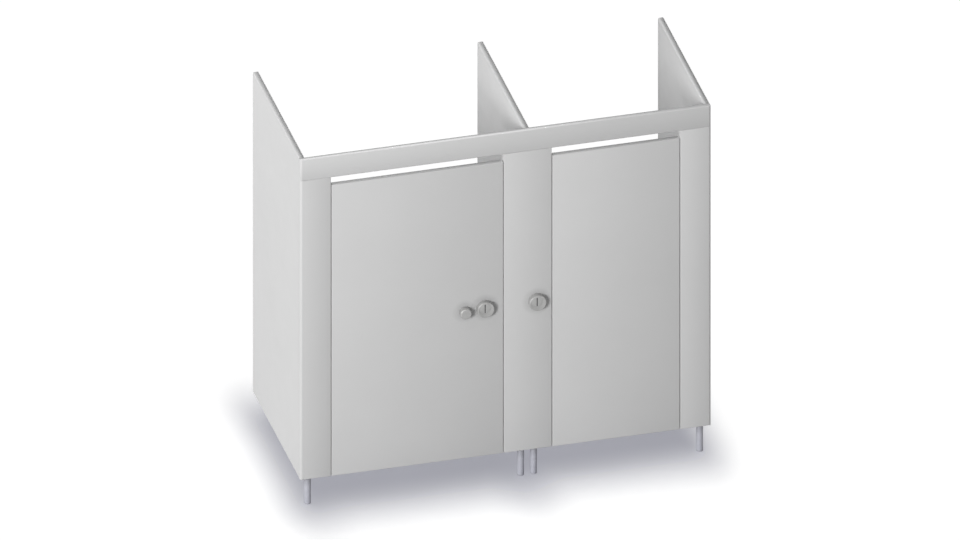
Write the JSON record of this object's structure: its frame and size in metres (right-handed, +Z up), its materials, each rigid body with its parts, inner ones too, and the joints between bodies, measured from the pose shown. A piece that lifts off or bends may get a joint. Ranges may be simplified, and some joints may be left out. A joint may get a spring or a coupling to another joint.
{
  "type": "toilet cubicle",
  "caption": "Two-bay toilet cubicle run with flush front, inward-opening doors, indicator locks, a door knob, headrail board, side panels and round front legs.",
  "frame": {"origin": "on the floor, at the middle of the outer box in X and Y (knob front to the panels' back edges)", "axes": "+X along the front to the right as seen from outside, +Y from the front back to the wall, +Z up"},
  "size_m": [2.14, 0.961, 2],
  "materials": {
    "board": "satin light grey board with rounded edges",
    "leg_tube": "satin tube",
    "lock_metal": "satin grey",
    "hinge_steel": "satin",
    "zinc_steel": "zinc plated",
    "rubber": "matt dark grey"
  },
  "bodies": {
    "frame": {"left_end_panel": "board", "divider_panel": "board", "right_end_panel": "board", "left_pilaster": "board", "middle_pilaster": "board", "right_pilaster": "board", "headrail": "board", "leg_left": "leg_tube", "leg_middle_left": "leg_tube", "leg_middle_right": "leg_tube", "leg_right": "leg_tube", "leg_studs": "zinc_steel", "foot_glides": "rubber", "panel_brackets": "zinc_steel", "headrail_plates": "zinc_steel", "wall_brackets": "zinc_steel", "frame_screws": "zinc_steel", "left_hinge_frame_leaves": "hinge_steel", "left_hinge_pins": "hinge_steel", "right_hinge_frame_leaves": "hinge_steel", "right_hinge_pins": "hinge_steel", "left_keep": "lock_metal", "right_rose": "lock_metal", "right_lock_case": "lock_metal"},
    "left_door": {"left_door": "board", "left_hinge_door_leaves": "hinge_steel", "left_knob": "lock_metal", "left_knob_bolt": "lock_metal", "left_stop_lugs": "zinc_steel", "left_stop_pads": "rubber", "left_coat_hook": "lock_metal", "left_hook_buffer": "rubber", "left_rose": "lock_metal", "left_lock_case": "lock_metal", "left_door_screws": "zinc_steel"},
    "left_turn": {"left_slot_disc": "lock_metal", "left_spindle": "zinc_steel", "left_cam": "zinc_steel", "left_thumb_turn": "lock_metal"},
    "left_bolt": {"left_bolt": "zinc_steel"},
    "right_door": {"right_door": "board", "right_hinge_door_leaves": "hinge_steel", "right_keep": "lock_metal", "right_stop_lugs": "zinc_steel", "right_stop_pads": "rubber", "right_coat_hook": "lock_metal", "right_hook_buffer": "rubber", "right_door_screws": "zinc_steel"},
    "right_turn": {"right_slot_disc": "lock_metal", "right_spindle": "zinc_steel", "right_cam": "zinc_steel", "right_thumb_turn": "lock_metal"},
    "right_bolt": {"right_bolt": "zinc_steel"}
  },
  "joints": [
    {"name": "left_door_hinge", "type": "hinge", "parent": "frame", "child": "left_door", "pos_m": [-0.90825, -0.4085, 0.99], "axis": [0, 0, 1], "range_deg": [0, 75]},
    {"name": "right_door_hinge", "type": "hinge", "parent": "frame", "child": "right_door", "pos_m": [0.90825, -0.4085, 0.99], "axis": [0, 0, -1], "range_deg": [0, 90]},
    {"name": "left_lock_turn", "type": "hinge", "parent": "left_door", "child": "left_turn", "pos_m": [-0.11, -0.4165, 1.005], "axis": [0, 1, 0], "range_deg": [0, 90]},
    {"name": "left_bolt_slide", "type": "slide", "parent": "left_door", "child": "left_bolt", "axis": [1, 0, 0], "range_m": [0, 0.03]},
    {"name": "right_lock_turn", "type": "hinge", "parent": "frame", "child": "right_turn", "pos_m": [0.161, -0.4165, 1.005], "axis": [0, 1, 0], "range_deg": [0, 90]},
    {"name": "right_bolt_slide", "type": "slide", "parent": "frame", "child": "right_bolt", "axis": [1, 0, 0], "range_m": [0, 0.03]}
  ],
  "couplings": [
    {"joint": "left_bolt_slide", "follows": "left_lock_turn", "m_per_rad": 0.019098},
    {"joint": "right_bolt_slide", "follows": "right_lock_turn", "m_per_rad": 0.019098}
  ]
}
